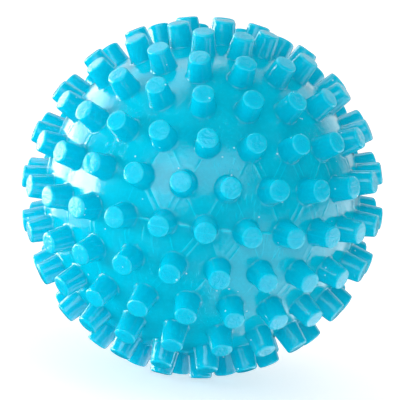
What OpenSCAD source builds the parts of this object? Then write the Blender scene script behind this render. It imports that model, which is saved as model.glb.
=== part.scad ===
// Massage ball: a hollow moulded skin with rows of flat-tipped nubs, closed by a push-in valve.
// Origin at the ball's centre. +Z is the mould axis: the seam lies on the XY plane and a nub stands
// on each pole. The valve takes the place of the seam row's nub at the back, on +Y.

/* [Ball] */
// Diameter over the flat nub tips, in mm
ball_d = 90; // [78:0.5:110]
// Thickness of the hollow skin between the nubs, in mm
skin_wall = 3; // [2.4:0.1:4]

/* [Nubs] */
// Height of a nub above the skin, in mm
nub_len = 5.8; // [4.8:0.1:7]
// Diameter at the tip, outside its rounded edge, in mm
nub_tip_d = 5.6; // [4.8:0.1:6.6]
// Diameter just above the flared foot, in mm
nub_foot_d = 6.4; // [5.6:0.1:7.6]
// Radius of the edge round the flat tip, in mm
nub_edge_r = 0.6; // [0.2:0.1:0.9]
// How far the flared foot spreads past the nub, in mm
foot_flare = 0.5; // [0.3:0.1:0.8]

/* [Mould seam] */
// Height of the seam line above the skin, in mm
seam_h = 0.15; // [0.1:0.05:0.3]
// Width of the seam line at its foot, in mm
seam_w = 0.7; // [0.4:0.1:1.2]

/* [Valve] */
// Diameter of the plug's head, in mm
head_d = 6.4; // [5.4:0.1:7]
// Thickness of the plug's head, in mm
head_t = 1.2; // [1:0.1:1.6]
// Diameter of the plug's stem, in mm
stem_d = 3.1; // [2.4:0.1:3.8]
// Length of the plug's stem with its tapered nose, in mm
stem_len = 8.5; // [7:0.5:11]
// Thickness of the valve seat round the plug's head, in mm
seat_wall = 0.8; // [0.6:0.1:1]
// How far the valve seat's outer lip reaches over the skin, in mm
lip_over = 0.7; // [0.4:0.1:0.8]
// How far the valve seat's inner flange reaches over the skin, in mm
flange_over = 2; // [1:0.1:2.5]
// Width of the pad's rim round the valve seat's lip, in mm
pad_rim = 0.9; // [0.7:0.1:1.1]
// Height of that pad above the skin at its middle, in mm
pad_h = 0.6; // [0.4:0.1:1.2]

/* [Hidden] */
$fn = 96;

// rows of nubs, from the seam to the pole, the same on both halves of the mould
row_pitch = 15;
row_count = [24, 22, 20, 16, 12, 7, 1];
// where each row starts, as a share of its own spacing, from the front (-Y) towards +X
row_start = [0, 0.4, 0.83, 0.66, 0.48, 0.48, 0];
last_row = len(row_count) - 1;
// the seam row's nub that the valve replaces, half way round from the front
valve_place = row_count[0] / 2;

tip_z = ball_d / 2;
skin_r = tip_z - nub_len;
hollow_r = skin_r - skin_wall;
nub_root_z = skin_r - skin_wall / 2;

// clearances between the plug and its seat
stem_gap = 0.05;
head_gap = 0.1;
head_side_gap = 0.2;

// the valve, measured outwards from the ball's centre along +Y
seat_neck_d = head_d + 2 * (head_side_gap + seat_wall);
seat_lip_d = seat_neck_d + 2 * lip_over;
seat_flange_d = seat_neck_d + 2 * flange_over;
lip_t = 0.8;
flange_t = 1.4;
pad_z = skin_r + pad_h;
pad_d = seat_lip_d + 2 * pad_rim;
pad_edge = 0.3;
land_z = hollow_r - 1.2;
land_d = seat_flange_d + 2.6;
recess_z = pad_z - head_t - 2 * head_gap;
tail_wall = 0.75;
tail_end_d = stem_d + 2 * tail_wall;
tail_d = tail_end_d + 1;
tail_z = recess_z + head_gap - stem_len - 0.6;
head_edge = 0.3;
nose_len = 1;
nose_d = stem_d - 1;
slot_w = 0.8;
slot_depth = 0.45;
slot_len = head_d - 2;

// half of a nub's outline: radius from its own axis, distance from the ball's centre
function edge_point(a) = [
    nub_tip_d / 2 - nub_edge_r * (1 - cos(a)),
    tip_z - nub_edge_r * (1 - sin(a))
];

nub_outline = concat(
    [
        [0, nub_root_z],
        [nub_foot_d / 2 + foot_flare, nub_root_z],
        [nub_foot_d / 2 + foot_flare, skin_r - 0.3],
        [nub_foot_d / 2 + 0.35 * foot_flare, skin_r + 0.4 * foot_flare],
        [nub_foot_d / 2, skin_r + 1.3 * foot_flare]
    ],
    [for (a = [0:30:90]) edge_point(a)],
    [[0, tip_z]]
);

module nub() {
    rotate_extrude()
        polygon(nub_outline);
}

// one row of nubs at its height above the seam, with the valve's place left empty
module nub_row(row) {
    step = 360 / row_count[row];
    for (i = [0:row_count[row] - 1])
        if (row > 0 || i != valve_place)
            rotate([0, 0, (i + row_start[row]) * step - 90])
                rotate([0, 90 - row * row_pitch, 0])
                    nub();
}

// the thin raised line that the mould leaves, its flanks running on down into the skin
module seam_line() {
    flank = seam_w / 3;
    sunk = 2 * seam_h;
    rotate_extrude()
        polygon([
            [skin_r - sunk, -seam_w / 2 - 2 * flank],
            [skin_r + seam_h, -seam_w / 2 + flank],
            [skin_r + seam_h, seam_w / 2 - flank],
            [skin_r - sunk, seam_w / 2 + 2 * flank]
        ]);
}

// turns a shape drawn outwards along +Z onto the valve's axis
module at_valve() {
    rotate([-90, 0, 0])
        children();
}

// a turned stretch on the valve's axis: radius r1 at z1, r2 at z2
module turned(z1, z2, r1, r2) {
    translate([0, 0, z1])
        cylinder(h = z2 - z1, r1 = r1, r2 = r2);
}

// the moulded skin with every nub, its seam, and the hole the valve seat is cast into
module skin() {
    color([0.01, 0.76, 0.9])
    difference() {
        union() {
            difference() {
                union() {
                    // turned so that the sphere's own edge runs between nubs
                    rotate([0, 0, row_pitch / 2])
                        sphere(r = skin_r);
                    seam_line();
                    at_valve() {
                        turned(skin_r - 2, pad_z - pad_edge, pad_d / 2, pad_d / 2);
                        turned(pad_z - pad_edge, pad_z, pad_d / 2, pad_d / 2 - pad_edge);
                    }
                }
                sphere(r = hollow_r);
            }
            at_valve()
                turned(land_z, hollow_r + 0.5, land_d / 2, land_d / 2);
            for (row = [0:last_row])
                nub_row(row);
            for (row = [1:last_row])
                mirror([0, 0, 1])
                    nub_row(row);
        }
        at_valve() {
            turned(land_z - 1, pad_z + 1, seat_neck_d / 2, seat_neck_d / 2);
            turned(pad_z - lip_t, pad_z + 1, seat_lip_d / 2, seat_lip_d / 2);
        }
    }
}

// the soft bush: a lip outside the wall, a flange inside it, and a tail that grips the stem
module valve_seat() {
    color([0.55, 0.85, 0.92])
    at_valve()
    difference() {
        union() {
            turned(pad_z - lip_t, pad_z, seat_lip_d / 2, seat_lip_d / 2);
            turned(land_z, pad_z, seat_neck_d / 2, seat_neck_d / 2);
            turned(land_z - flange_t, land_z, seat_flange_d / 2, seat_flange_d / 2);
            turned(tail_z, land_z, tail_end_d / 2, tail_d / 2);
        }
        turned(tail_z - 1, pad_z, stem_d / 2 + stem_gap, stem_d / 2 + stem_gap);
        turned(recess_z, pad_z + 1, head_d / 2 + head_side_gap, head_d / 2 + head_side_gap);
    }
}

// the push-in plug: a round head with a nail slot, and a stem with a tapered nose
module valve_plug() {
    head_z = recess_z + head_gap;
    face_z = head_z + head_t;
    nose_z = head_z - stem_len;
    color([0.93, 0.95, 0.96])
    at_valve()
    difference() {
        union() {
            turned(head_z, face_z - head_edge, head_d / 2, head_d / 2);
            turned(face_z - head_edge, face_z, head_d / 2, head_d / 2 - head_edge);
            turned(nose_z + nose_len, head_z, stem_d / 2, stem_d / 2);
            turned(nose_z, nose_z + nose_len, nose_d / 2, stem_d / 2);
        }
        translate([-slot_len / 2, -slot_w / 2, face_z - slot_depth])
            cube([slot_len, slot_w, slot_depth + 1]);
    }
}

skin();
valve_seat();
valve_plug();
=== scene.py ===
"""Looks of a nubbed massage ball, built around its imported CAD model.

The ball is a hollow moulded skin of soft blue plastic with rows of flat-tipped nubs. A soft valve
seat is cast into the skin at the back, and a small plug pushes into it. All sizes are those of the
CAD model, in millimetres, and every finished mesh is in metres in the model's own frame.
"""

import logging
import math
import random
from dataclasses import dataclass, field
from enum import Enum

import bmesh
import bpy
from mathutils import Matrix, Vector
from mathutils.geometry import delaunay_2d_cdt
from mathutils.kdtree import KDTree


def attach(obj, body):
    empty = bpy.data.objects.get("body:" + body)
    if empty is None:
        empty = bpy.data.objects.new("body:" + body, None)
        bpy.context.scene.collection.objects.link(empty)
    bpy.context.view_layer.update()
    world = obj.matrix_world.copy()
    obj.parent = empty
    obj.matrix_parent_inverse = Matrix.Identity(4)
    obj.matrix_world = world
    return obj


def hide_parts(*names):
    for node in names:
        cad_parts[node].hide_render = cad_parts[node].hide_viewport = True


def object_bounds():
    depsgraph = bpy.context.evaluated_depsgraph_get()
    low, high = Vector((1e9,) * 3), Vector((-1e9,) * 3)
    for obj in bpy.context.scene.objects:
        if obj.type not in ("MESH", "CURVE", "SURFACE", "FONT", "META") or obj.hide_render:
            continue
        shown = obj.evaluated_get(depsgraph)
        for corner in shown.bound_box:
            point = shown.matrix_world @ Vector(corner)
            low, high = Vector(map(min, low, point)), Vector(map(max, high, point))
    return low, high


Mesh = bmesh.types.BMesh
Piece = bpy.types.Object
Material = bpy.types.Material
Tree = bpy.types.NodeTree
Node = bpy.types.Node
Socket = bpy.types.NodeSocket
Outline = list[tuple[float, float]]
Colour = tuple[float, float, float]

LOG = logging.getLogger("massage_ball")
MM = 0.001
WHITE = (1.0, 1.0, 1.0, 1.0)
# in millimetres: points of a spun band, or of a finished piece, that are closer than this are one
SPIN_MERGE = 0.002
PIECE_MERGE = 0.004
# in millimetres: how far below a flat face's height a point still belongs to it
FLAT = 1e-4

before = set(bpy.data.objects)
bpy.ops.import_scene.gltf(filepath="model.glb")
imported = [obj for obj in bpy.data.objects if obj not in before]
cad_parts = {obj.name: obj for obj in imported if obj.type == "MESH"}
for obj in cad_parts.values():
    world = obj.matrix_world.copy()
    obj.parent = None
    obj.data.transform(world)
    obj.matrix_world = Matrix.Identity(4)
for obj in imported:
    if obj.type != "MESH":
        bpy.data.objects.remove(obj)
cad_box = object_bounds()


class Half(Enum):
    """The two halves of the mould, either side of the seam."""

    UPPER = 1
    LOWER = -1


class Body(Enum):
    """The CAD bodies that pieces ride on."""

    BALL = "ball"
    PLUG = "plug"


# ---- mesh helpers


def revolve(outline: Outline, sides: int) -> Mesh:
    """Spins an outline of (radius, height) points about Z.

    Args:
        outline: Points from one end of the band to the other.
        sides: Number of segments round the axis.

    Returns:
        A mesh that holds the band.
    """
    bm = bmesh.new()
    verts = [bm.verts.new((r, 0.0, z)) for r, z in outline]
    edges = [bm.edges.new(pair) for pair in zip(verts, verts[1:])]
    bmesh.ops.spin(
        bm,
        geom=verts + edges,
        cent=(0, 0, 0),
        axis=(0, 0, 1),
        angle=math.tau,
        steps=sides,
        use_merge=True,
        use_duplicate=False,
    )
    bmesh.ops.remove_doubles(bm, verts=bm.verts, dist=SPIN_MERGE)
    return bm


def take_in(bm: Mesh, part: Mesh) -> None:
    """Adds a part's faces to a mesh and frees the part.

    Args:
        bm: The mesh that grows.
        part: The part.
    """
    mesh = bpy.data.meshes.new("part")
    part.to_mesh(mesh)
    part.free()
    bm.from_mesh(mesh)
    bpy.data.meshes.remove(mesh)


def put(name: str, data: bpy.types.ID) -> Piece:
    """Puts data in the scene as an object at the origin.

    Args:
        name: The object's name.
        data: Its mesh, light or camera.

    Returns:
        The object.
    """
    piece = bpy.data.objects.new(name, data)
    bpy.context.scene.collection.objects.link(piece)
    return piece


def onto(direction: Vector) -> Matrix:
    """The turn that brings +Z onto a direction."""
    return direction.to_track_quat("Z", "Y").to_matrix().to_4x4()


def compass(azimuth: float, elevation: float) -> Vector:
    """Unit vector at an azimuth from the front (-Y) towards +X and an elevation, in degrees."""
    a, e = math.radians(azimuth), math.radians(elevation)
    return Vector((math.sin(a) * math.cos(e), -math.cos(a) * math.cos(e), math.sin(e)))


def right_and_up(back: Vector, degrees: float) -> tuple[Vector, Vector]:
    """Finds the two axes of a rectangle seen from the ball.

    Args:
        back: Unit vector from the ball to the rectangle's middle.
        degrees: How far it is turned about its own middle.

    Returns:
        The axis to its right and the axis upwards.
    """
    level = Vector((0, 0, 1)).cross(back).normalized()
    rise = back.cross(level)
    turn = math.radians(degrees)
    return level * math.cos(turn) + rise * math.sin(turn), rise * math.cos(turn) - level * math.sin(turn)


def arc(centre: tuple[float, float], radius: float, start: float, end: float, steps: int) -> Outline:
    """Points along a rounded corner of an outline.

    Args:
        centre: The arc's centre as (radius, height).
        radius: The arc's own radius.
        start: Angle of the first point, in degrees from outwards towards up.
        end: Angle of the last point, in degrees.
        steps: Number of segments.

    Returns:
        The points, the first and last included.
    """
    angles = [math.radians(start + (end - start) * i / steps) for i in range(steps + 1)]
    return [(centre[0] + radius * math.cos(a), centre[1] + radius * math.sin(a)) for a in angles]


def finish_mesh(bm: Mesh, name: str, body: Body) -> Piece:
    """Closes a mesh, brings it to metres and makes it an object that rides on a body.

    Args:
        bm: The mesh in millimetres. It is freed.
        name: Name of the new object.
        body: The CAD body that it moves with.

    Returns:
        The object.
    """
    bmesh.ops.remove_doubles(bm, verts=bm.verts, dist=PIECE_MERGE)
    bmesh.ops.recalc_face_normals(bm, faces=bm.faces)
    bmesh.ops.scale(bm, vec=(MM, MM, MM), verts=bm.verts)
    for face in bm.faces:
        face.smooth = True
    open_edges = sum(1 for edge in bm.edges if not edge.is_manifold)
    mesh = bpy.data.meshes.new(name)
    bm.to_mesh(mesh)
    bm.free()
    piece = put(name, mesh)
    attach(piece, body.value)
    LOG.info("%s: %d faces, %d open edges", name, len(mesh.polygons), open_edges)
    return piece


# ---- the skin and its nubs


@dataclass
class NubLayout:
    """Where the nubs stand: the same rows on both halves, one row on the seam, one nub at each pole.

    Attributes:
        pitch: Degrees between rows.
        counts: Nubs in each row, from the seam to the pole.
        starts: Where each row starts, as a share of its spacing, from the front towards +X.
        valve_axis: Direction of the valve, which takes the place of a nub.
        valve_cosine: A nub whose direction is nearer the valve's than this is left out.
    """

    pitch: float = 15.0
    counts: tuple[int, ...] = (24, 22, 20, 16, 12, 7, 1)
    starts: tuple[float, ...] = (0.0, 0.4, 0.83, 0.66, 0.48, 0.48, 0.0)
    valve_axis: Vector = field(default_factory=lambda: Vector((0, 1, 0)))
    valve_cosine: float = 0.999

    def row(self, index: int, half: Half) -> list[Vector]:
        """Finds where the nubs of one row stand.

        Args:
            index: The row's number, from the seam.
            half: Its half of the mould.

        Returns:
            Unit vectors from the ball's centre.
        """
        count, start = self.counts[index], self.starts[index]
        turns = [(i + start) * math.tau / count - math.pi / 2 for i in range(count)]
        lift = math.radians(index * self.pitch) * half.value
        flat, up = math.cos(lift), math.sin(lift)
        return [Vector((flat * math.cos(t), flat * math.sin(t), up)) for t in turns]

    def directions(self) -> list[Vector]:
        """Finds where all nubs stand, with the valve's place left out.

        Returns:
            Unit vectors from the ball's centre.
        """
        found = []
        for index in range(len(self.counts)):
            found += self.row(index, Half.UPPER)
            if index:
                found += self.row(index, Half.LOWER)
        return [d for d in found if d.dot(self.valve_axis) < self.valve_cosine]


@dataclass
class ValveSizes:
    """Sizes that the skin, the seat and the plug share.

    A name in _r is a radius, the ball's own or one about the valve's axis. A name in _z is a distance
    from the ball's centre along that axis.
    """

    skin_r: float = 39.2
    hollow_r: float = 36.2
    pad_z: float = 39.8
    pad_r: float = 5.8
    pad_edge: float = 0.3
    pad_foot: float = 0.2
    lip_r: float = 4.9
    lip_t: float = 0.8
    lip_edge: float = 0.12
    neck_r: float = 4.2
    land_z: float = 35.0
    land_r: float = 7.5
    land_slope: float = 0.3
    flange_r: float = 6.2
    flange_t: float = 1.4
    tail_r: float = 2.8
    tail_end_r: float = 2.3
    tail_z: float = 29.4
    bore_r: float = 1.6
    recess_r: float = 3.4
    recess_z: float = 38.4
    head_r: float = 3.2
    head_z: float = 38.5
    head_t: float = 1.2
    stem_r: float = 1.55
    nose_r: float = 1.05
    nose_z: float = 30.0
    slot_length: float = 4.4
    slot_width: float = 0.8
    slot_depth: float = 0.45


@dataclass(frozen=True)
class RaisedLine:
    """A fine raised line that the mould leaves along the skin.

    Attributes:
        start, end: Unit vectors from the ball's centre to its ends.
        width: Width where its flanks leave the skin, in millimetres.
        flank: Width of each flank.
        height: Height above the skin.
        pitch: Distance between its points along the skin.
        narrowest_crest: Half the width of the narrowest crest that has two rows of points.
    """

    start: Vector
    end: Vector
    width: float
    flank: float
    height: float
    pitch: float = 0.35
    narrowest_crest: float = 0.05

    def points(self, radius: float) -> list[tuple[Vector, float]]:
        """The line's points on the bare skin, each with how far it is raised.

        Args:
            radius: The skin's radius.

        Returns:
            Pairs of a place and a rise.
        """
        side = self.start.cross(self.end).normalized()
        crest = self.width / 2 - self.flank
        rows = [(-self.width / 2, 0.0), (self.width / 2, 0.0), (crest, self.height)]
        if crest > self.narrowest_crest:
            rows.append((-crest, self.height))
        steps = math.ceil(self.start.angle(self.end) * radius / self.pitch)
        found = []
        for i in range(steps + 1):
            middle = self.start.slerp(self.end, i / steps) * radius
            found += [((middle + side * off).normalized() * radius, rise) for off, rise in rows]
        return found


@dataclass(frozen=True)
class Hole:
    """A round hole in the ball's surface: the unit vector to its middle, and its rim's radius."""

    axis: Vector
    rim: float


@dataclass(frozen=True)
class SurfacePoint:
    """A point of the bare sphere, how far it is raised, and the number of the hole it rims, or 0."""

    place: Vector
    rise: float = 0.0
    hole: int = 0


@dataclass
class BallSurface:
    """One surface of the hollow ball: a sphere with round holes and raised lines, joined into one skin.

    Attributes:
        holes: The holes, the last of them the one that the sphere is laid out flat around.
        subdivisions: How fine the even fill between holes and lines is.
        sides: Points round each hole.
        line_gap: Least distance of a line's point from a rim and from another line's points.
        rim_gap, fill_gap: Least distance of a fill point from a rim, and from a line's points.
        same: Distance on the flat layout below which two points are one.
    """

    radius: float
    holes: list[Hole]
    lines: list[RaisedLine]
    subdivisions: int
    sides: int
    line_gap: float = 0.12
    rim_gap: float = 0.35
    fill_gap: float = 0.3
    same: float = 1e-6

    def outside_rims(self, places: list[Vector], gap: float) -> list[bool]:
        """Tells which places are clear of every hole.

        Args:
            places: The places.
            gap: Least distance from a rim.

        Returns:
            Whether each place is.
        """
        limits = [(h.axis, math.cos(math.asin(h.rim / self.radius) + gap / self.radius)) for h in self.holes]
        units = [place.normalized() for place in places]
        return [all(unit.dot(axis) < limit for axis, limit in limits) for unit in units]

    def rim_points(self) -> list[SurfacePoint]:
        """Sets points round every hole.

        Returns:
            The points, hole by hole.
        """
        points = []
        for number, hole in enumerate(self.holes, start=1):
            turn = onto(hole.axis)
            height = math.sqrt(self.radius**2 - hole.rim**2)
            for i in range(self.sides):
                a = math.tau * i / self.sides
                spot = Vector((hole.rim * math.cos(a), hole.rim * math.sin(a), height))
                points.append(SurfacePoint(turn @ spot, hole=number))
        return points

    def line_points(self) -> list[SurfacePoint]:
        """Sets points along the raised lines.

        Returns:
            Those that are clear of every hole and of the lines before.
        """
        around = [(x, y, z) for x in (-1, 0, 1) for y in (-1, 0, 1) for z in (-1, 0, 1)]
        taken, found = set(), []
        for line in self.lines:
            points = line.points(self.radius)
            outside = self.outside_rims([place for place, _ in points], self.line_gap)
            cells = []
            for (place, rise), is_outside in zip(points, outside):
                x, y, z = (round(c / self.line_gap) for c in place)
                if is_outside and not any((x + i, y + j, z + k) in taken for i, j, k in around):
                    found.append(SurfacePoint(place, rise))
                    cells.append((x, y, z))
            taken |= set(cells)
        return found

    def fill_points(self, drawn: list[SurfacePoint]) -> list[SurfacePoint]:
        """Even points over the rest of the sphere.

        Args:
            drawn: The raised lines' points.

        Returns:
            The points that are clear of every rim and line.
        """
        bm = bmesh.new()
        bmesh.ops.create_icosphere(bm, subdivisions=self.subdivisions, radius=self.radius)
        places = [v.co.copy() for v in bm.verts]
        bm.free()
        near = KDTree(len(drawn))
        for index, point in enumerate(drawn):
            near.insert(point.place, index)
        near.balance()
        found = []
        for place, is_outside in zip(places, self.outside_rims(places, self.rim_gap)):
            if is_outside and (not drawn or near.find(place)[2] > self.fill_gap):
                found.append(SurfacePoint(place))
        return found

    def lay_flat(self, points: list[SurfacePoint]) -> list[Vector]:
        """Lays the sphere out flat, seen from the last hole, so that circles stay circles.

        Args:
            points: Points of the sphere.

        Returns:
            Their places on the flat.
        """
        level = onto(self.holes[-1].axis).inverted()
        units = [(level @ point.place).normalized() for point in points]
        return [Vector((unit.x, unit.y)) / (1 - unit.z) for unit in units]

    def build(self) -> Mesh:
        """Joins all points by the triangles that suit them best and raises the lines.

        Returns:
            A mesh of the surface, open inside every hole.
        """
        drawn = self.line_points()
        points = self.rim_points() + drawn + self.fill_points(drawn)
        _, _, faces, origins, _, _ = delaunay_2d_cdt(self.lay_flat(points), [], [], 0, self.same)
        bm = bmesh.new()
        raised = bm.verts.layers.float.new("rise")
        kept = [points[origin[0]] for origin in origins]
        verts = [bm.verts.new(point.place * (1 + point.rise / self.radius)) for point in kept]
        for vert, point in zip(verts, kept):
            vert[raised] = point.rise
        for corners in faces:
            holes = {kept[i].hole for i in corners}
            if holes == {0} or len(holes) > 1:
                bm.faces.new([verts[i] for i in corners])
        LOG.info("sphere of radius %.1f: %d points, %d faces", self.radius, len(verts), len(bm.faces))
        return bm


@dataclass
class NubbedSkin:
    """The moulded skin: a hollow ball with every nub, and the hole that the valve seat is cast into.

    A name in _r is a radius, in _z a distance from the ball's centre, in _h a height above the skin
    and in _w a width at the foot. Webs are faint pairs of lines between nubs.

    Attributes:
        tip_edge: Radius of the edge round a nub's flat tip.
        tip_rim: Each step of the shallow rim inside it, as its width and how far it sinks.
        foot_spread: How far a nub's foot spreads.
        foot_curve: The foot's points, as shares of the spread outwards and upwards.
        nub_lean, nub_swell: Usual sideways lean of a tip, and usual share by which it is too wide.
        web_reach: Degrees between the furthest nubs that webs join.
        web_gap: Distance between the two webs of a pair.
        web_missing, web_lowest: Share of webs that haven't formed, and least height of a formed one.
        fine, coarse, sides: Subdivisions of the outer and inner sphere, and segments round a nub.
        seed: Start of the random draws.
    """

    layout: NubLayout
    valve: ValveSizes
    tip_z: float = 45.0
    tip_r: float = 2.8
    tip_edge: float = 0.6
    tip_rim: tuple[tuple[float, float], ...] = ((0.12, 0.0), (0.24, 0.07), (0.12, 0.0))
    foot_r: float = 3.2
    foot_spread: float = 0.5
    foot_curve: tuple[tuple[float, float], ...] = ((0.7, 0.06), (0.42, 0.22), (0.14, 0.6), (0.0, 1.25))
    nub_lean: float = 0.07
    nub_swell: float = 0.012
    seam_h: float = 0.15
    seam_w: float = 0.7
    web_reach: float = 19.0
    web_gap: float = 1.5
    web_w: float = 0.36
    web_h: float = 0.12
    web_missing: float = 0.2
    web_lowest: float = 0.002
    fine: int = 7
    coarse: int = 5
    sides: int = 20
    seed: int = 11

    def nub_outline(self) -> Outline:
        """Draws a nub.

        Returns:
            Its outline from where its foot leaves the skin to the rim of its flat tip.
        """
        foot_out = self.foot_r + self.foot_spread
        foot_z = math.sqrt(self.valve.skin_r**2 - foot_out**2)
        spread = self.foot_spread
        foot = [(self.foot_r + spread * out, foot_z + spread * up) for out, up in self.foot_curve]
        edge_middle = (self.tip_r - self.tip_edge, self.tip_z - self.tip_edge)
        return [(foot_out, foot_z)] + foot + arc(edge_middle, self.tip_edge, 0, 90, 4)

    def nub(self) -> Mesh:
        """Turns a nub and closes its flat tip.

        Returns:
            The nub, standing on +Z.
        """
        bm = revolve(self.nub_outline(), self.sides)
        rim = [v for v in bm.verts if v.co.z > self.tip_z - FLAT]
        cap = bmesh.ops.contextual_create(bm, geom=rim)["faces"]
        for width, sink in self.tip_rim:
            bmesh.ops.inset_region(bm, faces=cap, thickness=width, depth=-sink, use_even_offset=True)
        return bm

    def place_nub(self, pattern: Mesh, direction: Vector, rng: random.Random) -> Mesh:
        """Copies the nub to its place, leaning and swelling a little as moulded nubs do.

        Args:
            pattern: The nub on +Z.
            direction: Unit vector from the ball's centre to the nub.
            rng: Source of the small differences between nubs.

        Returns:
            The placed nub.
        """
        bm = pattern.copy()
        foot_z = self.valve.skin_r + self.foot_spread
        lean = Vector((rng.gauss(0, self.nub_lean), rng.gauss(0, self.nub_lean), 0))
        swell = rng.gauss(0, self.nub_swell)
        for v in bm.verts:
            height = max(0.0, (v.co.z - foot_z) / (self.tip_z - foot_z))
            v.co += (Vector((v.co.x, v.co.y, 0)) * swell + lean) * height
        bmesh.ops.transform(bm, matrix=onto(direction), verts=bm.verts)
        return bm

    def valve_mouth(self) -> Outline:
        """Draws the hole for the valve seat.

        Returns:
            Its outline from the skin outside to the hollow inside.
        """
        v = self.valve
        foot_r = v.pad_r + v.pad_foot
        foot_z = math.sqrt(v.skin_r**2 - foot_r**2)
        ledge_z = v.pad_z - v.lip_t
        pad = [(foot_r, foot_z), (v.pad_r + 0.2 * v.pad_foot, foot_z + 0.8 * v.pad_foot)]
        pad += arc((v.pad_r - v.pad_edge, v.pad_z - v.pad_edge), v.pad_edge, 0, 90, 4)
        lip = arc((v.lip_r + v.lip_edge, v.pad_z - v.lip_edge), v.lip_edge, 90, 180, 2)
        lip += [(v.lip_r, ledge_z), (v.neck_r, ledge_z)]
        land = [(v.neck_r, v.land_z), (v.flange_r, v.land_z), (v.land_r - v.land_slope, v.land_z)]
        return pad + lip + land + [(v.land_r, math.sqrt(v.hollow_r**2 - v.land_r**2))]

    def seam_lines(self) -> list[RaisedLine]:
        """Draws the seam's raised line.

        Returns:
            Its stretches, from nub to nub of the seam row.
        """
        row = self.layout.row(0, Half.UPPER)
        pairs = zip(row, row[1:] + row[:1])
        return [RaisedLine(a, b, self.seam_w, self.seam_w / 3, self.seam_h) for a, b in pairs]

    def webs(self, directions: list[Vector]) -> list[RaisedLine]:
        """Faint pairs of lines between the nubs of the middle rows, where the mould's inserts meet.

        Args:
            directions: Unit vectors to the nubs.

        Returns:
            The lines, two to a pair of nubs.
        """
        rows = {}
        for d in directions:
            rows.setdefault(round(math.degrees(math.asin(d.z)) / self.layout.pitch), []).append(d)
        pairs = [(a, b) for row in (1, -1, 2, -2) for a in rows[row] for b in rows[row - row // abs(row)]]
        rng = random.Random(self.seed + 1)
        lines = []
        for a, b in pairs:
            if a.angle(b) >= math.radians(self.web_reach):
                continue
            across = a.cross(b).normalized() * self.web_gap / 2 / self.valve.skin_r
            for off in (across, -across):
                height = self.web_h * (rng.random() - self.web_missing) / (1 - self.web_missing)
                if height > self.web_lowest:
                    ends = (a + off).normalized(), (b + off).normalized()
                    lines.append(RaisedLine(*ends, self.web_w, self.web_w / 2, height))
        return lines

    def build(self) -> Piece:
        """Builds the skin as one closed moulding.

        Returns:
            The skin.
        """
        directions = self.layout.directions()
        axis = self.layout.valve_axis
        foot_rim = self.nub_outline()[0][0]
        mouth = self.valve_mouth()
        holes = [Hole(d, foot_rim) for d in directions] + [Hole(axis, mouth[0][0])]
        lines = self.seam_lines() + self.webs(directions)
        bm = BallSurface(self.valve.skin_r, holes, lines, self.fine, self.sides).build()
        inner_hole = Hole(axis, mouth[-1][0])
        take_in(bm, BallSurface(self.valve.hollow_r, [inner_hole], [], self.coarse, self.sides).build())
        rng, pattern = random.Random(self.seed), self.nub()
        for direction in directions:
            take_in(bm, self.place_nub(pattern, direction, rng))
        pattern.free()
        around_valve = revolve(mouth, self.sides)
        bmesh.ops.transform(around_valve, matrix=onto(axis), verts=around_valve.verts)
        take_in(bm, around_valve)
        piece = finish_mesh(bm, "moulded_skin", Body.BALL)
        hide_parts("skin")
        return piece


@dataclass
class ValveSeat:
    """The soft bush: a lip outside the skin, a flange inside it, and a tail that grips the plug.

    Attributes:
        valve: The sizes of the valve.
        recess_edge, flange_edge: Radius of the edge round the recess, and of the flange's edges.
        fit_gap: Gap between the lip and its seat in the skin.
        tail_edge: Size of the slope at the tail's end.
        sides: Segments round the bush.
    """

    valve: ValveSizes
    recess_edge: float = 0.15
    fit_gap: float = 0.02
    flange_edge: float = 0.3
    tail_edge: float = 0.2
    sides: int = 48

    def outline(self) -> Outline:
        """Draws the bush.

        Returns:
            Its whole cut shape, from the recess floor round the outside and back.
        """
        v = self.valve
        ledge_z = v.pad_z - v.lip_t
        back_z = v.land_z - v.flange_t
        lip_in = self.fit_gap + v.lip_edge
        flange_middle = v.flange_r - self.flange_edge
        mouth = [(v.bore_r, v.recess_z), (v.recess_r, v.recess_z)]
        mouth_middle = (v.recess_r + self.recess_edge, v.pad_z - self.recess_edge)
        mouth += arc(mouth_middle, self.recess_edge, 180, 90, 3)
        lip = arc((v.lip_r - lip_in, v.pad_z - lip_in), v.lip_edge, 90, 0, 3)
        lip += [(v.lip_r - self.fit_gap, ledge_z), (v.neck_r, ledge_z), (v.neck_r, v.land_z)]
        flange = arc((flange_middle, v.land_z - self.flange_edge), self.flange_edge, 90, 0, 3)
        flange += arc((flange_middle, back_z + self.flange_edge), self.flange_edge, 0, -90, 3)
        tail = [(v.tail_r, back_z), (v.tail_end_r, v.tail_z + self.tail_edge)]
        tail += [(v.tail_end_r - self.tail_edge, v.tail_z), (v.bore_r, v.tail_z)]
        return mouth + lip + flange + tail + mouth[:1]

    def build(self, axis: Vector) -> Piece:
        """Turns the bush and sets it in the skin.

        Args:
            axis: Direction of the valve.

        Returns:
            The bush.
        """
        bm = revolve(self.outline(), self.sides)
        bmesh.ops.transform(bm, matrix=onto(axis), verts=bm.verts)
        piece = finish_mesh(bm, "valve_seat_bush", Body.BALL)
        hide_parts("valve_seat")
        return piece


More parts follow.
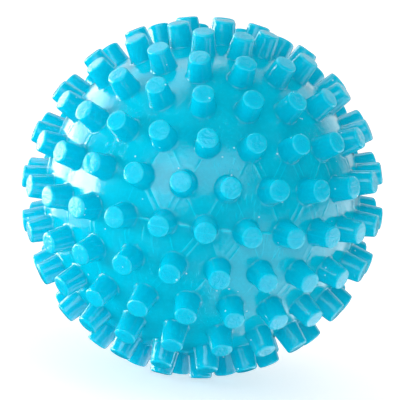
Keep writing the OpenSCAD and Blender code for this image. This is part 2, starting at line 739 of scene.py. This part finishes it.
@dataclass
class ValvePlug:
    """The push-in plug: a round head with a nail slot, and a stem with a tapered nose.

    Attributes:
        valve: The sizes of the valve.
        nose_len: Length of the tapered nose.
        nose_edge: How far in and how far up the slope at the nose's end goes.
        root: Length and width of the flare where the stem meets the head.
        under_edge, face_edge: Size of the slope under the head's rim, and radius of its face's edge.
        sides: Segments round the plug.
    """

    valve: ValveSizes
    nose_len: float = 1.0
    nose_edge: tuple[float, float] = (0.2, 0.15)
    root: tuple[float, float] = (0.2, 0.02)
    under_edge: float = 0.1
    face_edge: float = 0.3
    sides: int = 48

    def outline(self) -> Outline:
        """Draws the plug.

        Returns:
            Its outline from the tip of its nose to the rim of its face.
        """
        v = self.valve
        nose = [(0.0, v.nose_z), (v.nose_r - self.nose_edge[0], v.nose_z)]
        nose += [(v.nose_r, v.nose_z + self.nose_edge[1]), (v.stem_r, v.nose_z + self.nose_len)]
        neck = [(v.stem_r, v.head_z - self.root[0]), (v.stem_r + self.root[1], v.head_z)]
        neck += [(v.head_r - self.under_edge, v.head_z), (v.head_r, v.head_z + self.under_edge)]
        edge_middle = (v.head_r - self.face_edge, v.head_z + v.head_t - self.face_edge)
        return nose + neck + arc(edge_middle, self.face_edge, 0, 90, 4)

    def cut_slot(self, bm: Mesh) -> None:
        """Cuts the nail slot into the plug's face.

        Args:
            bm: The turned plug, whose face is still open.
        """
        v = self.valve
        face_z = v.head_z + v.head_t - FLAT
        rim = [vert for vert in bm.verts if vert.co.z > face_z]
        bmesh.ops.contextual_create(bm, geom=rim)
        half = Vector((v.slot_length / 2, v.slot_width / 2, 0))
        for across, reach in ((Vector((1, 0, 0)), half.x), (Vector((0, 1, 0)), half.y)):
            for side in (1, -1):
                top = [f for f in bm.faces if all(vert.co.z > face_z for vert in f.verts)]
                parts = set(top) | {e for f in top for e in f.edges} | {vert for f in top for vert in f.verts}
                cut = across * reach * side
                bmesh.ops.bisect_plane(bm, geom=list(parts), dist=FLAT / 10, plane_co=cut, plane_no=across)
        floor = []
        for f in bm.faces:
            middle = f.calc_center_median()
            if middle.z > face_z and abs(middle.x) < half.x and abs(middle.y) < half.y:
                floor.append(f)
        sunk = bmesh.ops.extrude_face_region(bm, geom=floor)["geom"]
        bmesh.ops.delete(bm, geom=floor, context="FACES_ONLY")
        moved = [g for g in sunk if isinstance(g, bmesh.types.BMVert)]
        bmesh.ops.translate(bm, vec=(0, 0, -v.slot_depth), verts=moved)

    def build(self, axis: Vector) -> Piece:
        """Turns the plug, cuts its slot and sets it in the seat.

        Args:
            axis: Direction of the valve.

        Returns:
            The plug.
        """
        bm = revolve(self.outline(), self.sides)
        self.cut_slot(bm)
        bmesh.ops.transform(bm, matrix=onto(axis), verts=bm.verts)
        piece = finish_mesh(bm, "push_plug", Body.PLUG)
        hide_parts("valve_plug")
        return piece


# ---- finishes


class Graph:
    """A node tree with short calls for adding and joining nodes."""

    def __init__(self, tree: Tree) -> None:
        """Keeps the tree to build in."""
        self.tree = tree

    def add(self, kind: str, **settings: object) -> Node:
        """Adds a node and sets its properties and named inputs.

        Args:
            kind: The node's type name.
            **settings: Node properties, or a socket or value for an input, keyed by its lower-case name
                or as in0, in1 and so on.

        Returns:
            The new node.
        """
        node = self.tree.nodes.new(kind)
        for key, value in settings.items():
            if key in node.bl_rna.properties:
                setattr(node, key, value)
                continue
            target = node.inputs[int(key[2:]) if key[2:].isdigit() else key.replace("_", " ").title()]
            if isinstance(value, Socket):
                self.join(value, target)
            else:
                target.default_value = value
        return node

    def join(self, output: Socket, target: Socket) -> None:
        """Links one socket to another."""
        self.tree.links.new(output, target)

    def maths(self, operation: str, *values: object) -> Socket:
        """A Math node on sockets or numbers.

        Args:
            operation: The Math operation.
            *values: A socket or number for each of its inputs.

        Returns:
            The result.
        """
        inputs = {f"in{index}": value for index, value in enumerate(values)}
        return self.add("ShaderNodeMath", operation=operation, **inputs).outputs[0]

    def dot(self, vector: Socket, axis: Vector) -> Socket:
        """How far a vector reaches along a fixed axis."""
        node = self.add("ShaderNodeVectorMath", operation="DOT_PRODUCT", in0=vector, in1=tuple(axis))
        return node.outputs["Value"]

    def step(self, value: Socket, low: float, high: float, below: float = 0.0, above: float = 1.0) -> Socket:
        """Smoothly maps a value from one range to another, held at both ends.

        Args:
            value: The value to map.
            low: Where the change starts.
            high: Where it ends.
            below: Result below the change.
            above: Result above it.

        Returns:
            The mapped value.
        """
        inputs = {"in0": value, "in1": low, "in2": high, "in3": below, "in4": above}
        return self.add("ShaderNodeMapRange", interpolation_type="SMOOTHSTEP", **inputs).outputs[0]

    def noise(self, vector: Socket, scale: object, detail: float) -> Socket:
        """Even noise at a scale in features per metre."""
        return self.add("ShaderNodeTexNoise", vector=vector, scale=scale, detail=detail).outputs[0]

    def blend(self, factor: Socket, a: object, b: object, most: float = 1.0) -> Socket:
        """Mixes two colours, each a socket or three numbers.

        Args:
            factor: How much of the second colour.
            a: First colour.
            b: Second colour.
            most: Share of the second colour where the factor is 1.

        Returns:
            The mixed colour.
        """
        if most != 1.0:
            factor = self.maths("MULTIPLY", factor, most)
        first, second = (tone if isinstance(tone, Socket) else (*tone, 1.0) for tone in (a, b))
        return self.add("ShaderNodeMix", data_type="RGBA", in0=factor, in6=first, in7=second).outputs[2]

    def bump(self, height: Socket, strength: float, target: Node) -> None:
        """Joins a relief to a shader's normal.

        Args:
            height: Its height in tenths of a millimetre.
            strength: How much of it shows.
            target: The shader.
        """
        node = self.add("ShaderNodeBump", strength=strength, distance=0.1 * MM)
        self.join(height, node.inputs["Height"])
        self.join(node.outputs[0], target.inputs["Normal"])


def shader_group(name: str, inputs: dict[str, float], outputs: tuple[str, ...]) -> tuple[Graph, Node, Node]:
    """Starts a node group with named number sockets.

    Args:
        name: The group's name.
        inputs: Input names and their usual values.
        outputs: Output names.

    Returns:
        The group's graph, its input node and its output node.
    """
    tree = bpy.data.node_groups.new(name, "ShaderNodeTree")
    for title, usual in inputs.items():
        tree.interface.new_socket(title, in_out="INPUT", socket_type="NodeSocketFloat").default_value = usual
    for title in outputs:
        tree.interface.new_socket(title, in_out="OUTPUT", socket_type="NodeSocketFloat")
    graph = Graph(tree)
    return graph, graph.add("NodeGroupInput"), graph.add("NodeGroupOutput")


def moulded_grain() -> Tree:
    """Makes the group for the fine unevenness that a mould leaves.

    Returns:
        The group, which gives a height, a slow mottle and a fine cloud.
    """
    inputs = {"Grain per metre": 2600.0, "Depth": 1.0}
    graph, given, result = shader_group("moulded_grain", inputs, ("Height", "Mottle", "Cloud"))
    place = graph.add("ShaderNodeTexCoord").outputs["Object"]
    fine = graph.noise(place, given.outputs["Grain per metre"], 3.0)
    slow = graph.maths("MULTIPLY", graph.noise(place, 260.0, 2.0), 1.2)
    height = graph.maths("ADD", graph.maths("MULTIPLY", fine, 0.35), slow)
    graph.join(graph.maths("MULTIPLY", height, given.outputs["Depth"]), result.inputs["Height"])
    graph.join(graph.noise(place, 90.0, 3.0), result.inputs["Mottle"])
    graph.join(graph.noise(place, 1200.0, 4.0), result.inputs["Cloud"])
    return graph.tree


def handling_marks() -> Tree:
    """Makes the group for marks of use.

    Returns:
        The group, which gives specks of dust, faint rubbed patches, and short upright scratches.
    """
    outputs = ("Specks", "Rubbed", "Scratches")
    graph, given, result = shader_group("handling_marks", {"Speck size": 0.09}, outputs)
    place = graph.add("ShaderNodeTexCoord").outputs["Object"]
    cells = graph.add("ShaderNodeTexVoronoi", vector=place, scale=380.0)
    chance = graph.add("ShaderNodeSeparateColor", in0=cells.outputs["Color"])
    near = graph.maths("LESS_THAN", cells.outputs["Distance"], given.outputs["Speck size"])
    rare = graph.maths("GREATER_THAN", chance.outputs[0], 0.8)
    graph.join(graph.maths("MULTIPLY", near, rare), result.inputs["Specks"])
    graph.join(graph.step(graph.noise(place, 150.0, 6.0), 0.5, 0.72), result.inputs["Rubbed"])
    upright = graph.add("ShaderNodeMapping", vector_type="POINT", vector=place, scale=(1.0, 1.0, 0.05))
    strokes = graph.step(graph.noise(upright.outputs[0], 1700.0, 1.0), 0.6, 0.68)
    patches = graph.step(graph.noise(place, 70.0, 2.0), 0.5, 0.6)
    graph.join(graph.maths("MULTIPLY", strokes, patches), result.inputs["Scratches"])
    return graph.tree


@dataclass(frozen=True)
class SkinFinish:
    """Glossy translucent soft plastic: painted shade darkens the wall between nubs; the flat tips are paler.

    Attributes:
        deep, body, tip: Painted shade between nubs, also the mottle's tone; colours of the nubs and their
            flat tips.
        pale, dust: Colours of scratches, clouds and the painted highlight on raised lines, and of specks.
        wall, tips: Metres from the centre between which the painted shade fades into body, and the tips
            begin.
        seam: Metres from the seam's plane between which its mark fades.
        gloss, tip_wear: Roughness of the clean wall, and what the tips have on top of it.
        tip_grain: Height of the fine clouds on the wall and on the tips.
        glow: Weight of the light scattered inside.
        glow_reach, glow_scale: Reach of red, green and blue light as shares of a distance in metres.
    """

    shade_and_mottle: Colour = (0.0, 0.49, 0.665)
    body: Colour = (0.0, 0.51, 0.69)
    tip: Colour = (0.0, 0.50, 0.71)
    pale: Colour = (0.0, 0.68, 0.88)
    dust: Colour = (0.55, 0.85, 0.92)
    wall: tuple[float, float] = (0.0385, 0.0452)
    tips: tuple[float, float] = (0.0442, 0.0449)
    seam: tuple[float, float] = (0.0001, 0.00025)
    gloss: float = 0.09
    tip_wear: float = 0.08
    tip_grain: tuple[float, float] = (0.9, 5.0)
    glow: float = 0.5
    glow_reach: Colour = (0.03, 0.9, 1.0)
    glow_scale: float = 0.004

    def make(self, grain: Tree, marks: Tree) -> Material:
        """Builds the material.

        Args:
            grain: The moulded_grain group.
            marks: The handling_marks group.

        Returns:
            The material.
        """
        material, graph, shader = new_material(
            "soft_blue_plastic",
            subsurface_weight=self.glow,
            subsurface_radius=self.glow_reach,
            subsurface_scale=self.glow_scale,
        )
        place = graph.add("ShaderNodeTexCoord").outputs["Object"]
        from_centre = graph.add("ShaderNodeVectorMath", operation="LENGTH", in0=place).outputs["Value"]
        split = graph.add("ShaderNodeSeparateXYZ", in0=place)
        seam = graph.step(graph.maths("ABSOLUTE", split.outputs[2]), *self.seam, 1.0, 0.0)
        tip = graph.step(from_centre, *self.tips)
        line = graph.add("ShaderNodeAttribute", attribute_name="rise").outputs["Fac"]
        surface = graph.add("ShaderNodeGroup", node_tree=grain).outputs
        handled = graph.add("ShaderNodeGroup", node_tree=marks).outputs

        # Painted shade: darker towards the ball's centre, between the nubs' feet; the same tone serves the
        # random mottle.
        tone = graph.blend(graph.step(from_centre, *self.wall), self.shade_and_mottle, self.body)
        for mark, colour, most in (
            (tip, self.tip, 0.8),
            (graph.step(surface["Mottle"], 0.35, 0.7), self.shade_and_mottle, 0.25),
            (seam, self.pale, 0.3),
            # Painted highlight: raised lines are tinted pale for the light that their flanks catch.
            (graph.step(line, 0.0, 0.05), self.pale, 0.6),
            (graph.step(surface["Cloud"], 0.42, 0.72), self.pale, 0.22),
            (handled["Scratches"], self.pale, 0.4),
            (handled["Specks"], self.dust, 0.7),
        ):
            tone = graph.blend(mark, tone, colour, most)
        graph.join(tone, shader.inputs["Base Color"])

        rough = graph.maths("MULTIPLY_ADD", handled["Rubbed"], 0.1, self.gloss)
        rough = graph.maths("MULTIPLY_ADD", tip, self.tip_wear, rough)
        graph.join(rough, shader.inputs["Roughness"])

        clouds = graph.step(from_centre, *self.tips, *self.tip_grain)
        relief = graph.maths("MULTIPLY_ADD", surface["Cloud"], clouds, surface["Height"])
        for mark, height in ((seam, 0.5), (handled["Specks"], 0.5), (handled["Scratches"], 0.8)):
            relief = graph.maths("MULTIPLY_ADD", mark, height, relief)
        graph.bump(relief, 0.5, shader)
        return material


@dataclass(frozen=True)
class MouldedFinish:
    """Plain moulded soft or hard plastic with its grain and a little dust.

    Light and dull are the colours of cleaner and of mottled parts, and depth is the grain's strength.
    """

    name: str
    light: Colour
    dull: Colour
    roughness: float
    depth: float

    def make(self, grain: Tree, marks: Tree) -> Material:
        """Builds the material.

        Args:
            grain: The moulded_grain group.
            marks: The handling_marks group.

        Returns:
            The material.
        """
        material, graph, shader = new_material(
            self.name, subsurface_weight=0.3, subsurface_radius=(0.6, 0.9, 1.0), subsurface_scale=0.002
        )
        surface = graph.add("ShaderNodeGroup", node_tree=grain, depth=self.depth).outputs
        handled = graph.add("ShaderNodeGroup", node_tree=marks).outputs
        tone = graph.blend(graph.step(surface["Mottle"], 0.3, 0.75), self.light, self.dull)
        tone = graph.blend(handled["Specks"], tone, self.dull, 0.5)
        graph.join(tone, shader.inputs["Base Color"])
        rough = graph.maths("MULTIPLY_ADD", handled["Rubbed"], 0.15, self.roughness)
        graph.join(rough, shader.inputs["Roughness"])
        graph.bump(surface["Height"], 0.4, shader)
        return material


def new_material(name: str, **settings: object) -> tuple[Material, Graph, Node]:
    """Makes a material with one Principled BSDF.

    Args:
        name: The material's name.
        **settings: Values of the shader's inputs, as Graph.add takes them.

    Returns:
        The material, its graph and its shader node.
    """
    material = bpy.data.materials.new(name)
    material.use_nodes = True
    material.node_tree.nodes.clear()
    graph = Graph(material.node_tree)
    shader = graph.add("ShaderNodeBsdfPrincipled", **settings)
    graph.add("ShaderNodeOutputMaterial", surface=shader.outputs[0])
    return material, graph, shader


# ---- studio


@dataclass(frozen=True)
class Softbox:
    """A rectangular light aimed at the ball.

    Attributes:
        name: Name of the light.
        azimuth, elevation: Degrees from the front towards +X, and above the ball's middle.
        distance: Metres from the ball's middle.
        width, height: Its sides in metres.
        power: Watts.
    """

    name: str
    azimuth: float
    elevation: float
    distance: float
    width: float
    height: float
    power: float

    def hang(self) -> None:
        """Makes the light and hangs it in its place."""
        data = bpy.data.lights.new(self.name, "AREA")
        data.shape = "RECTANGLE"
        data.size = self.width
        data.size_y = self.height
        data.energy = self.power
        light = put(self.name, data)
        away = compass(self.azimuth, self.elevation)
        light.location = away * self.distance
        light.rotation_euler = away.to_track_quat("Z", "Y").to_euler()
        light.visible_glossy = False


@dataclass(frozen=True)
class Board:
    """A soft-edged white board far round the ball, which shows as a sheen in glossy surfaces.

    Attributes:
        azimuth, elevation: Degrees from the front towards +X, and above the ball's middle.
        width, height, soft: Its sides and the width of its soft edge, over its distance.
        tilt: Degrees that it is turned about its own middle.
        glow: Brightness.
        least_depth: Cosine below which a direction is taken to miss the board's plane.
    """

    azimuth: float
    elevation: float
    width: float
    height: float
    tilt: float
    glow: float
    soft: float
    least_depth: float = 0.05

    def shine(self, graph: Graph, direction: Socket) -> Socket:
        """Adds the nodes that give the board's brightness.

        Args:
            graph: The room's graph.
            direction: The direction looked in.

        Returns:
            Brightness in that direction.
        """
        middle = compass(self.azimuth, self.elevation)
        along, up = right_and_up(middle, self.tilt)
        ahead = graph.dot(direction, middle)
        depth = graph.maths("MAXIMUM", ahead, self.least_depth)
        in_front = graph.maths("GREATER_THAN", ahead, self.least_depth)
        light = graph.maths("MULTIPLY", in_front, self.glow)
        for axis, size in ((along, self.width), (up, self.height)):
            offset = graph.maths("ABSOLUTE", graph.maths("DIVIDE", graph.dot(direction, axis), depth))
            inside = graph.step(offset, (size - self.soft) / 2, (size + self.soft) / 2, 1.0, 0.0)
            light = graph.maths("MULTIPLY", light, inside)
        return light


@dataclass
class Studio:
    """Pale floor, soft lights, white boards and the long-lens camera.

    Attributes:
        floor_z, floor_radius: Height and radius of the round floor, in metres.
        floor_tones: Darkest and lightest grey of the floor.
        floor_glow: White light that the floor gives off, so that shadows on it stay pale.
        camera_azimuth, camera_elevation: Degrees from the front towards +X, and above the ball's middle.
        camera_roll, camera_distance: Degrees about its own axis, and metres from the ball's middle.
        lens, sensor: Focal length and sensor width in millimetres.
        aim_right, aim_up: Metres that the camera is moved to its right and up.
        room_light: Brightness of the even light from the room.
        room_sheen: Brightness of the room where no board is reflected.
    """

    floor_z: float
    floor_radius: float = 14.0
    floor_tones: tuple[float, float] = (0.62, 0.66)
    floor_glow: float = 0.55
    camera_azimuth: float = -2.4
    camera_elevation: float = 11.1
    camera_roll: float = 7.2
    camera_distance: float = 1.8
    lens: float = 650.7
    sensor: float = 36.0
    aim_right: float = -0.00057
    aim_up: float = -0.0007
    room_light: float = 0.63
    room_sheen: float = 0.006
    lights: tuple[Softbox, ...] = (
        Softbox("key_left", -80, 7, 0.55, 0.34, 0.16, 1.7),
        Softbox("top", 10, 78, 0.6, 0.5, 0.35, 0.75),
        Softbox("front", -6, 22, 0.9, 0.42, 0.3, 1.6),
    )
    boards: tuple[Board, ...] = (
        Board(-7.4, 30, 1.39, 0.56, 8.9, 1.6, 0.1),
        Board(-27, 16, 0.42, 0.62, 11.3, 1.4, 0.12),
        Board(-101, -4, 0.56, 0.36, 10, 15, 0.03),
        Board(-137, -4, 0.52, 0.36, 10, 7, 0.03),
        Board(-138.4, 12, 0.88, 0.4, 26.9, 2.6, 0.06),
        Board(-138.5, 23.3, 1.08, 0.89, 43.3, 0.5, 0.2),
        Board(-138.3, 62.3, 0.3, 1.05, 109.3, 2, 0.1),
        Board(180, 28, 1.9, 1.1, 0, 0.85, 0.2),
        Board(-125.4, -18.2, 1.24, 0.22, -0.4, 1.6, 0.08),
        Board(145.9, 3.8, 0.65, 0.41, -28, 0.5, 0.1),
        Board(83.2, -37.6, 3.18, 1.45, 4.4, 1.2, 0.15),
        Board(116, -28, 0.9, 1.2, 0, 1.1, 0.2),
    )

    def lay_floor(self) -> None:
        """Lays the pale floor that the ball stands on."""
        bm = bmesh.new()
        bmesh.ops.create_circle(bm, cap_ends=True, segments=96, radius=self.floor_radius)
        bmesh.ops.translate(bm, vec=(0, 0, self.floor_z), verts=bm.verts)
        mesh = bpy.data.meshes.new("floor")
        bm.to_mesh(mesh)
        bm.free()
        floor = put("floor", mesh)
        material, graph, shader = new_material(
            "pale_floor", roughness=0.6, emission_color=WHITE, emission_strength=self.floor_glow
        )
        place = graph.add("ShaderNodeTexCoord").outputs["Object"]
        dark, light = ((grey, grey, grey) for grey in self.floor_tones)
        tone = graph.blend(graph.noise(place, 30.0, 3.0), dark, light)
        graph.join(tone, shader.inputs["Base Color"])
        mesh.materials.append(material)
        floor.visible_glossy = False

    def light_room(self) -> None:
        """Sets the even room light, hangs the softboxes and stands the white boards round the ball."""
        world = bpy.data.worlds.new("room")
        bpy.context.scene.world = world
        world.use_nodes = True
        world.node_tree.nodes.clear()
        graph = Graph(world.node_tree)
        world.cycles.sampling_method = "NONE"
        path = graph.add("ShaderNodeLightPath")
        direction = graph.add("ShaderNodeTexCoord").outputs["Object"]
        sheen = self.room_sheen
        for board in self.boards:
            sheen = graph.maths("ADD", sheen, board.shine(graph, direction))
        shown = graph.add("ShaderNodeBackground", in0=WHITE, strength=self.room_light).outputs[0]
        for ray, strength in (("Is Glossy Ray", sheen), ("Is Camera Ray", 1.0)):
            other = graph.add("ShaderNodeBackground", in0=WHITE, strength=strength).outputs[0]
            mix = graph.add("ShaderNodeMixShader", in0=path.outputs[ray], in1=shown, in2=other)
            shown = mix.outputs[0]
        graph.add("ShaderNodeOutputWorld", surface=shown)
        for softbox in self.lights:
            softbox.hang()

    def place_camera(self) -> None:
        """Sets the camera at the viewing angle, turned a little about its own axis."""
        back = compass(self.camera_azimuth, self.camera_elevation)
        right, up = right_and_up(back, self.camera_roll)
        data = bpy.data.cameras.new("camera")
        data.sensor_width = self.sensor
        data.lens = self.lens
        data.clip_start, data.clip_end = 0.05, 60.0
        camera = put("camera", data)
        spot = back * self.camera_distance + right * self.aim_right + up * self.aim_up
        camera.matrix_world = Matrix.Translation(spot) @ Matrix((right, up, back)).transposed().to_4x4()
        bpy.context.scene.camera = camera


def main() -> None:
    """Builds the pieces in order, dresses them and sets up the studio."""
    logging.basicConfig(level=logging.INFO, format="%(name)s: %(message)s")
    layout, sizes = NubLayout(), ValveSizes()
    skin = NubbedSkin(layout, sizes).build()
    seat = ValveSeat(sizes).build(layout.valve_axis)
    plug = ValvePlug(sizes).build(layout.valve_axis)
    grain, marks = moulded_grain(), handling_marks()
    skin.data.materials.append(SkinFinish().make(grain, marks))
    seat_finish = MouldedFinish("pale_bush_plastic", (0.3, 0.66, 0.78), (0.2, 0.55, 0.7), 0.3, 0.8)
    plug_finish = MouldedFinish("white_plug_plastic", (0.86, 0.89, 0.9), (0.74, 0.79, 0.81), 0.24, 0.5)
    seat.data.materials.append(seat_finish.make(grain, marks))
    plug.data.materials.append(plug_finish.make(grain, marks))
    studio = Studio(floor_z=cad_box[0].z)
    studio.lay_floor()
    studio.light_room()
    studio.place_camera()
    bpy.context.scene.view_settings.view_transform = "Standard"
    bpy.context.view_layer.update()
    len(layout.directions())


if __name__ == "__main__":
    main()
